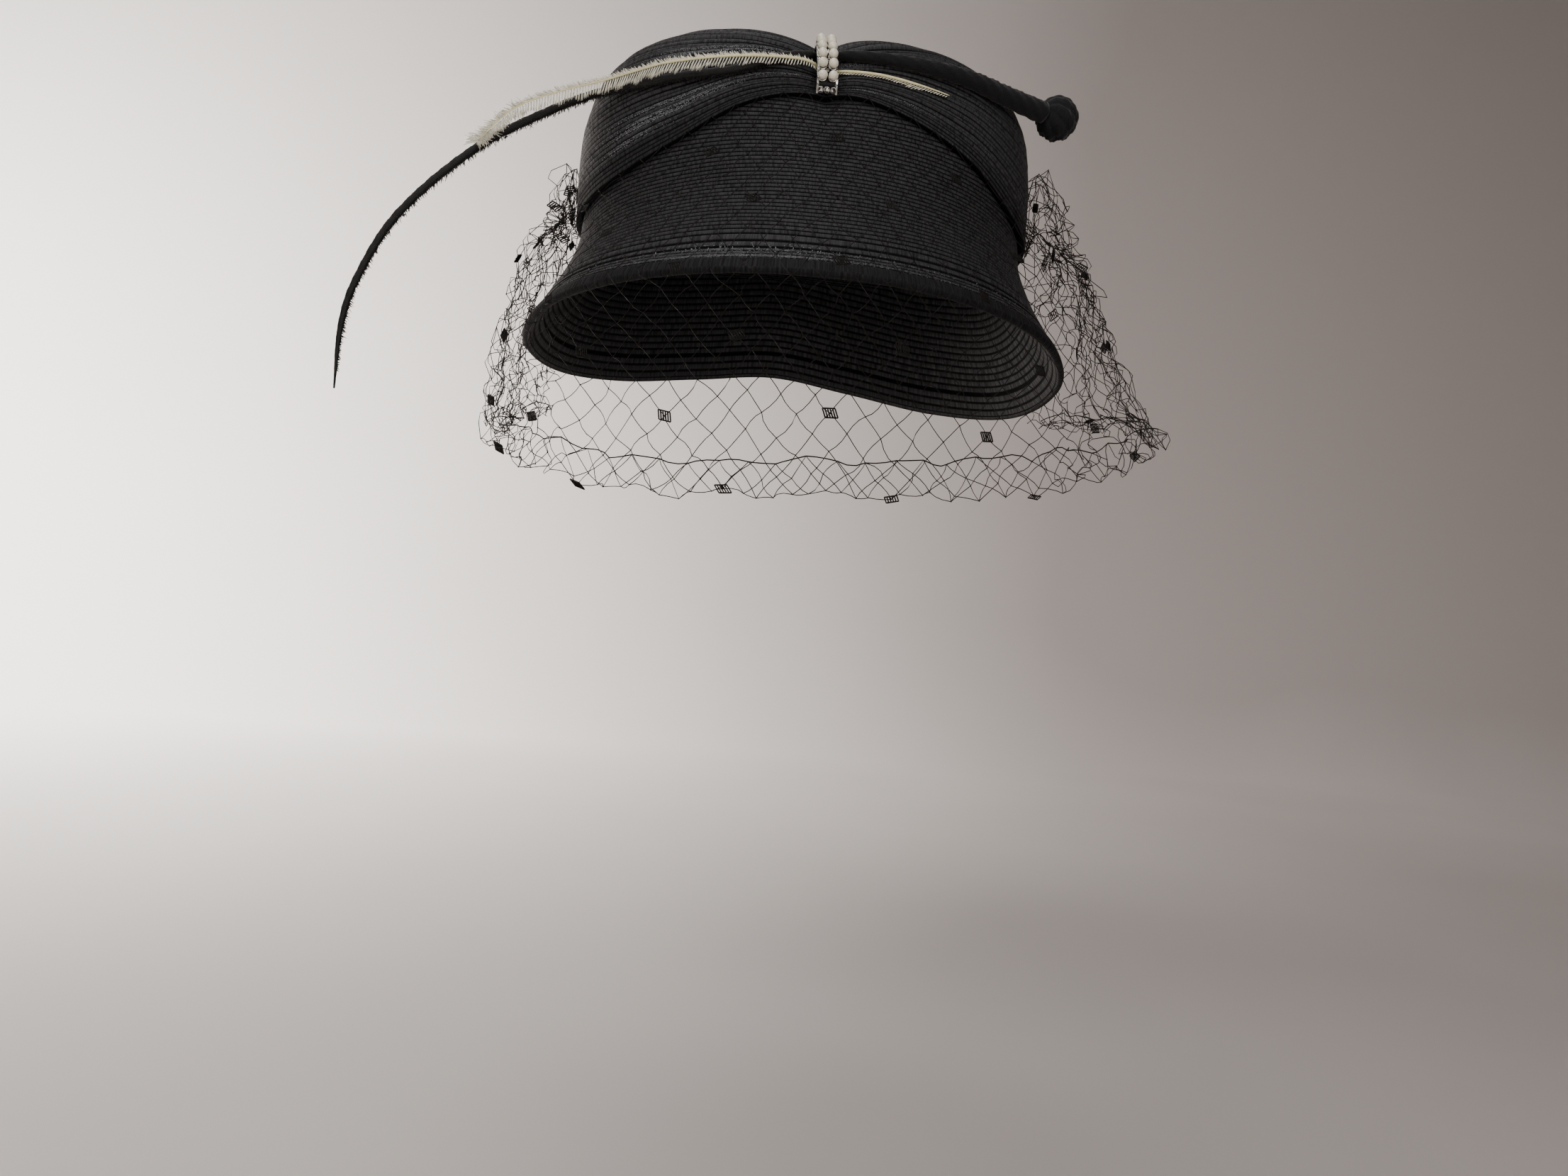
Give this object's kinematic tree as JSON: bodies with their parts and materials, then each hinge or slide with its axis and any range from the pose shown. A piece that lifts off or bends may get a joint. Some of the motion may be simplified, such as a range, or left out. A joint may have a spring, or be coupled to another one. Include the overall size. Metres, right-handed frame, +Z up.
{
  "type": "draped straw hat with visor brim, net veil, quill, feather and pearl clasp",
  "caption": "Small draped pillbox-style straw hat with a turned-down visor brim, a net veil over the face, and a quill and feather held by a pearl clasp.",
  "frame": {"origin": "middle of the head opening, in the level plane where the crown meets the brim", "axes": "+Z up out of the crown, the front of the hat faces -Y, +X to the viewer's right from the front"},
  "size_m": [0.327, 0.2142, 0.1839],
  "materials": {
    "straw": "black stitched straw braid with a soft lacquer sheen",
    "net": "black knotted veiling net with woven dots",
    "quill": "black stripped quill with short stubble",
    "velvet": "matte black velvet",
    "feather": "soft ivory feather",
    "setting": "polished silver-coloured setting",
    "pearl": "ivory pearl lustre",
    "stone": "clear cut glass"
  },
  "bodies": {
    "root": {"crown": "straw", "brim": "straw", "veil": "net", "quill": "quill", "bobble": "velvet", "feather": "feather", "clasp_bar": "setting", "pearl_1_left": "pearl", "pearl_1_right": "pearl", "pearl_2_left": "pearl", "pearl_2_right": "pearl", "pearl_3_left": "pearl", "pearl_3_right": "pearl", "pearl_4_left": "pearl", "pearl_4_right": "pearl", "pearl_5_left": "pearl", "pearl_5_right": "pearl", "pearl_6_left": "pearl", "pearl_6_right": "pearl", "stone_1": "stone", "stone_2": "stone", "stone_3": "stone", "stone_4": "stone", "stone_5": "stone", "end_stone_1": "stone", "end_stone_2": "stone", "end_stone_3": "stone"}
  },
  "joints": []
}
